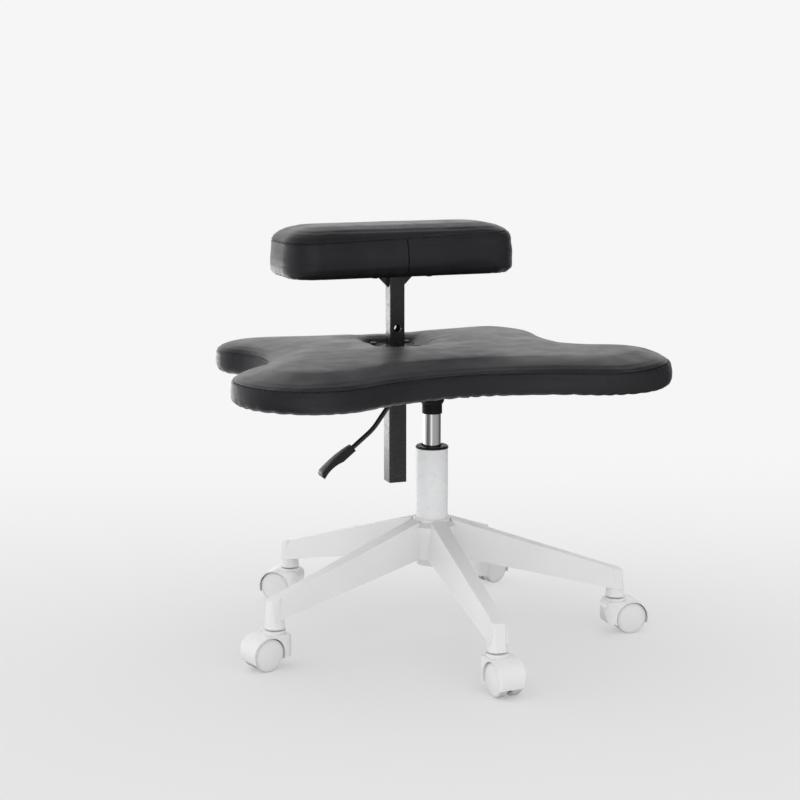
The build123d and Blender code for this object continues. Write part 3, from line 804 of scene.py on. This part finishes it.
staples = {
    "fade": (0.002, 0.017),   # heights over which a staple's pull is lost
    "reach": 0.013,           # and how far in it is felt
    "stray": 0.7,             # how far a staple may miss its beat
    "strength": (0.2, 0.55, 0.9),    # least, middle and spread
    "inward": 0.6,            # share of the pull that draws the edge in
}


def trimmedPad(nodeName, pieceName, facts):
    # the stuffed body, square to the axes, without the edge that is turned under the board
    pad = copyOfNode(nodeName, pieceName)
    turnPiece(pad, -seatTurn)
    bpy.ops.object.mode_set(mode="EDIT")
    bpy.ops.mesh.select_all(action="SELECT")
    cut = (0, 0, facts["low"] + hemFold["trim"])
    bpy.ops.mesh.bisect(plane_co=cut, plane_no=(0, 0, 1), clear_inner=True)
    bpy.ops.mesh.fill(use_beauty=False)
    bpy.ops.object.mode_set(mode="OBJECT")
    return pad


def makeHem(pieceName, outline, facts):
    # the cover's edge: down the pad's lower flank and flat under the board
    foot, slope = facts["flank"]
    rise, cover = hemFold["rise"], hemFold["cover"]
    under = facts["boardInset"] + hemFold["under"]
    section = [
        (foot - slope * rise, rise), (foot - slope * rise / 2, rise / 2), (foot, 0), (under, 0),
        (under, cover), (facts["boardInset"] - hemFold["overlap"], cover),
    ]
    columns, rows = len(outline.points), len(section)
    bpy.ops.object.select_all(action="DESELECT")
    bpy.ops.mesh.primitive_grid_add(x_subdivisions=columns, y_subdivisions=rows, size=1)
    hem = bpy.context.object
    hem.name = pieceName
    for vertex in hem.data.vertices:
        column = round((vertex.co.x + 0.5) * columns) % columns
        inset, height = section[round((vertex.co.y + 0.5) * rows) % rows]
        point = Vector((*outline.points[column], facts["low"] + height))
        vertex.co = point - outline.outwardAt(column) * inset
    bpy.ops.object.mode_set(mode="EDIT")
    bpy.ops.mesh.select_all(action="SELECT")
    bpy.ops.mesh.remove_doubles(threshold=0.00001)
    bpy.ops.mesh.normals_make_consistent(inside=False)
    bpy.ops.object.mode_set(mode="OBJECT")
    return hem


def heldShare(co, inset, facts):
    # where the cover is glued to the board or stapled under it
    onBoard = inset > facts["boardInset"] - stuffing["boardEdge"]
    glued = onBoard and 1 - smoothStep(*stuffing["glueFade"], co.z - facts["boardTop"])
    stapled = 1 - smoothStep(*stuffing["hemFade"], co.z - facts["low"])
    return max(glued, stapled)


def stapleEdge(piece, outline, facts):
    # the lower edge is drawn up and in at each staple
    least, middle, spread = staples["strength"]
    seed = facts["stapleSeed"]
    for vertex in piece.data.vertices:
        along, inset, outward = outline.place(vertex.co)
        low = 1 - smoothStep(*staples["fade"], vertex.co.z - facts["low"])
        if inset > staples["reach"] or low == 0:
            continue
        beat = along / facts["staplePitch"] + staples["stray"] * noise.noise((along * 9, 0, seed))
        drawn = 1 - abs(math.sin(math.pi * beat))
        strength = max(least, middle + spread * noise.noise((along * 17, 1.3, seed)))
        pull = low * drawn * strength * facts["staplePull"]
        vertex.co.z += pull
        vertex.co -= outward * staples["inward"] * pull


stitching = {
    "pitch": 0.004,
    "length": 0.0028,
    "radius": 0.00038,
    "besideSeam": 0.0027,
    "inset": 0.003,           # where the nearest place on the cover is looked for
}


def sewStitches(pad, outline, seamHeight, pieceName):
    # a row of topstitches on each side of the seam
    places = []
    step = max(1, round(stitching["pitch"] / outline.total * len(outline.points)))
    for index in range(0, len(outline.points), step):
        outward = outline.outwardAt(index)
        point = Vector((*outline.points[index], 0)) - outward * stitching["inset"]
        for side in (-1, 1):
            point.z = seamHeight(point) + side * stitching["besideSeam"]
            spot, normal = pad.closest_point_on_mesh(point)[1:3]
            places.append((spot, outward.cross(normal).normalized(), normal))
    bpy.ops.object.select_all(action="DESELECT")
    bpy.ops.mesh.primitive_ico_sphere_add(subdivisions=1, radius=1)
    row = bpy.context.object
    row.name = pieceName
    row.scale = (stitching["length"] / 2, stitching["radius"], stitching["radius"])
    bpy.ops.object.transform_apply(scale=True)
    count = len(row.data.vertices)
    copies = row.modifiers.new("copies", "ARRAY")
    copies.count = len(places)
    copies.use_relative_offset = False
    applyModifier(row, copies)
    for vertex in row.data.vertices:
        spot, run, normal = places[vertex.index // count]
        x, y, z = vertex.co
        vertex.co = spot + run * x + normal.cross(run) * y + normal * z
    return row


def finishStitches(row, body):
    turnPiece(row, seatTurn)
    bpy.ops.object.shade_smooth()
    dress(row, finishes["thread"])
    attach(row, body)
    print(row.name, len(row.data.polygons), "faces")


def finishPad(pad, hem, nodeName, body):
    takeUp(pad)
    hem.select_set(True)
    bpy.ops.object.join()
    bpy.ops.object.shade_smooth_by_angle(angle=math.radians(60))
    turnPiece(pad, seatTurn)
    dress(pad, finishes["leatherette"])
    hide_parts(nodeName)
    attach(pad, body)
    print(pad.name, len(pad.data.polygons), "faces")


# lower pad

def flangeShare(co, facts):
    # less than 1 under the post's flange, 1 at its edge
    return max(abs(co[i] - facts["flangeCentre"][i]) / facts["flangeHalf"][i] for i in (0, 1))


def lowerHeldShare(co, outline, facts):
    underFlange = 1 - smoothStep(*facts["flangeFade"], flangeShare(co, facts))
    return max(underFlange, heldShare(co, outline.place(co)[1], facts))


def makeLowerPad():
    facts = lowerPad
    outline = Outline(lobedOutline(facts))
    pad = trimmedPad("lower_pad", "lowerPad", facts)
    hem = makeHem("lowerHem", outline, facts)
    remeshPad(pad, facts)
    stuffPad(pad, facts, lambda co: lowerHeldShare(co, outline, facts))
    clear = facts["flangeClear"]
    for edge, rounds in facts["easing"]:
        easeTop(pad, lambda co: onTop(co, edge, outline, facts) and flangeShare(co, facts) > clear, rounds)
    refinePad(pad)
    beside, deep = facts["seamZone"]

    def onBand(co):
        return abs(co.z - facts["seam"]) < beside and outline.place(co)[1] < deep

    sewSeam(pad, onBand, (0, 0, facts["seam"]), (0, 0, 1), facts["seamDepth"])
    for piece in (pad, hem):
        stapleEdge(piece, outline, facts)
    wrinkleLowerPad(pad, outline, facts)
    stitches = sewStitches(pad, outline, lambda point: facts["seam"], "lowerStitches")
    for piece in (pad, hem, stitches):
        settleLobes(piece, facts)
    finishPad(pad, hem, "lower_pad", "seat")
    finishStitches(stitches, "seat")


def settleLobes(piece, facts):
    # as photographed, the lobes aren't quite alike: the rear one at +X is drawn in and lies lower
    for vertex in piece.data.vertices:
        x, y, z = vertex.co
        top = smoothStep(0.010, 0.035, z - facts["low"])
        rear = smoothStep(0.13, 0.20, y)
        zones = {
            "rightNotch": smoothStep(0.15, 0.22, x) * between(y, (0, 0.07), (0.10, 0.18)),
            "rightFront": smoothStep(0.22, 0.32, x) * (1 - smoothStep(-0.08, 0.02, y)),
            "rightRear": smoothStep(0.17, 0.27, x) * rear,
            "leftRear": smoothStep(0.17, 0.27, -x) * rear,
            "leftFront": smoothStep(0.2, 0.32, -x) * (1 - smoothStep(-0.12, 0, y)),
        }
        for name, share in zones.items():
            shift, topRise, footRise = facts["lobeMoves"][name]
            x += share * shift
            z += share * (top * topRise + (1 - top) * footRise)
        vertex.co = (x, y, z)


def wrinkleLowerPad(pad, outline, facts):
    cx, cy = facts["flangeCentre"]
    normals = [vertex.normal.copy() for vertex in pad.data.vertices]
    for vertex, normal in zip(pad.data.vertices, normals):
        co = vertex.co
        along, inset = outline.place(co)[:2]
        rise = co.z - facts["low"]
        # long shallow creases along the band, and short gathers under the seam
        band = between(rise, *facts["creaseBand"]) * (1 - smoothStep(*facts["creaseInset"], inset))
        if band > 0:
            crease = noise.noise((along * 7, rise * 210, 3.1))
            gathered = smoothStep(0.0, 0.5, noise.noise((along * 5, 2.2, 0)))
            gather = noise.noise((along * 95, rise * 18, 6.4)) * gathered
            vertex.co += normal * band * (crease * facts["crease"] + gather * facts["gather"])
        # folds running into the dimple, and the top's slow unevenness
        if co.z > facts["seam"] or max(abs(co.x - cx), abs(co.y - cy)) < facts["foldReach"]:
            dx, dy = co.x - cx, co.y - cy
            gap = math.hypot(dx, dy)
            turn = math.atan2(dy, dx)
            fold = noise.noise((math.cos(turn) * 3.2, math.sin(turn) * 3.2, 1.7))
            fold *= between(gap, *facts["foldRing"])
            slow = noise.noise((co.x * 11, co.y * 11, 5.5)) * smoothStep(*facts["slowFrom"], gap)
            vertex.co.z += fold * facts["fold"] + slow * facts["slow"]
        # a long rounded slope along the front
        if co.z > facts["seam"] + facts["slopeFrom"]:
            front = (1 - smoothStep(-0.02, 0.1, co.y)) * (1 - smoothStep(0.22, 0.3, co.x))
            vertex.co.z -= front * between(inset, *facts["slopeInset"]) * facts["slope"]


makeLowerPad()


# upper pad

upperPad = {
    "size": (0.397, 0.168),
    "corner": 0.054,
    "centre": (-0.0048, 0.163),
    "voxel": 0.0045,
    "slack": 0.0012,
    "swell": 0.0012,
    "pressure": 3.0,
    "low": 0.5547,
    "flank": (0.013, 1.311),
    "boardInset": 0.0157,
    "boardTop": 0.5705,
    "seam": 0.6155,           # height of the seam at the middle of the pad
    "seamTilt": 0.027,        # its rise towards +X, per metre of width
    "seamDepth": 0.0014,
    "seamZone": (0.012, 0.03),
    "join": -0.0075,          # where the band's two ends are sewn together, at the front
    "joinDepth": 0.00168,
    "joinZone": (0.014, 0.004, 0.002),    # how far in, from the lowest edge and from the seam it is cut
    "staplePitch": 0.026,
    "staplePull": 0.0013,
    "stapleSeed": 4.2,
    "easing": ((0.014, 14), (0.003, 10)),
    "easedFrom": 0.003,
    "creaseBand": ((0.008, 0.018), (0.048, 0.054)),
    "creaseInset": 0.012,
    "crease": 0.0007,
    "slowFrom": 0.064,
    "slow": 0.0006,
    "endLength": 0.07,        # the ends are drawn in over this length
    "endDrawn": (0.002, 0.0045),    # at an end's middle, and how much more at its corners
    "endGrows": (0.004, 0.022),
    "endFades": (0.036, 0.06),
    "endLoss": 0.6,           # share that is lost towards the top
}


def roundedOutline(facts):
    halfX, halfY = facts["size"][0] / 2, facts["size"][1] / 2
    corner = facts["corner"]
    cx, cy = facts["centre"]
    points = []
    for sx, sy, start in ((1, -1, -90), (1, 1, 0), (-1, 1, 90), (-1, -1, 180)):
        middle = (cx + sx * (halfX - corner), cy + sy * (halfY - corner))
        points += arcPoints(middle, corner, start, start + 90)
        # the straight side that follows
        end = (middle[0] + corner * math.cos(math.radians(start + 90)),
               middle[1] + corner * math.sin(math.radians(start + 90)))
        side = 2 * (halfY - corner) if start in (-90, 90) else 2 * (halfX - corner)
        run = (-math.sin(math.radians(start + 90)), math.cos(math.radians(start + 90)))
        count = round(side / outlineStep)
        points += [
            (end[0] + run[0] * side * i / count, end[1] + run[1] * side * i / count)
            for i in range(count)
        ]
    return points


def makeUpperPad():
    facts = upperPad
    outline = Outline(roundedOutline(facts))
    pad = trimmedPad("upper_pad", "upperPad", facts)
    hem = makeHem("upperHem", outline, facts)
    remeshPad(pad, facts)
    stuffPad(pad, facts, lambda co: heldShare(co, outline.place(co)[1], facts))
    for edge, rounds in facts["easing"]:
        easeTop(pad, lambda co: onTop(co, edge, outline, facts), rounds)
    refinePad(pad)
    middle = Vector((facts["centre"][0], 0, facts["seam"]))
    across = Vector((-facts["seamTilt"], 0, 1)).normalized()
    beside, deep = facts["seamZone"]
    joinDeep, fromLow, fromSeam = facts["joinZone"]
    front = facts["centre"][1] - facts["size"][1] / 2 + joinDeep

    def onBand(co):
        return abs((co - middle).dot(across)) < beside and outline.place(co)[1] < deep

    def onJoin(co):
        upright = facts["low"] + fromLow < co.z < facts["seam"] - fromSeam
        return upright and abs(co.x - facts["join"]) < beside and co.y < front

    def seamHeight(point):
        return facts["seam"] + (point.x - middle.x) * facts["seamTilt"]

    sewSeam(pad, onBand, middle, across, facts["seamDepth"])
    sewSeam(pad, onJoin, (facts["join"], 0, 0), (1, 0, 0), facts["joinDepth"])
    for piece in (pad, hem):
        stapleEdge(piece, outline, facts)
    wrinkleUpperPad(pad, outline, facts)
    stitches = sewStitches(pad, outline, seamHeight, "upperStitches")
    finishPad(pad, hem, "upper_pad", "post")
    finishStitches(stitches, "post")


def wrinkleUpperPad(pad, outline, facts):
    halfX, halfY = facts["size"][0] / 2, facts["size"][1] / 2
    atMiddle, atCorners = facts["endDrawn"]
    normals = [vertex.normal.copy() for vertex in pad.data.vertices]
    for vertex, normal in zip(pad.data.vertices, normals):
        co = vertex.co
        along, inset = outline.place(co)[:2]
        rise = co.z - facts["low"]
        # long shallow creases along the band, and the top's slow unevenness
        band = between(rise, *facts["creaseBand"])
        if band > 0 and inset < facts["creaseInset"]:
            vertex.co += normal * band * noise.noise((along * 8, rise * 110, 8.3)) * facts["crease"]
        if rise > facts["slowFrom"]:
            vertex.co.z += noise.noise((co.x * 14, co.y * 14, 2.5)) * facts["slow"]
        # the ends are drawn tighter than the sides, and rounder
        side, depth = co.x - facts["centre"][0], co.y - facts["centre"][1]
        end = smoothStep(halfX - facts["endLength"], halfX, abs(side))
        tight = smoothStep(*facts["endGrows"], rise)
        tight *= 1 - facts["endLoss"] * smoothStep(*facts["endFades"], rise)
        drawn = atMiddle + atCorners * (depth / halfY) ** 2
        vertex.co.x -= math.copysign(end * tight * drawn, side)


makeUpperPad()


# lever grip, with its moulded edges rounded

leverGrip = {"edge": 0.0022, "segments": 3, "sharp": 35}


def makeLeverGrip():
    grip = copyOfNode("lever_grip", "leverGrip")
    soften = grip.modifiers.new("roundedEdges", "BEVEL")
    soften.width = leverGrip["edge"]
    soften.segments = leverGrip["segments"]
    soften.limit_method = "ANGLE"
    soften.angle_limit = math.radians(leverGrip["sharp"])
    soften.use_clamp_overlap = True
    applyModifier(grip, soften)
    bpy.ops.object.shade_smooth_by_angle(angle=math.radians(leverGrip["sharp"]))
    dress(grip, finishes["black_plastic"])
    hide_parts("lever_grip")
    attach(grip, "lever")


makeLeverGrip()
print("lever grip made")
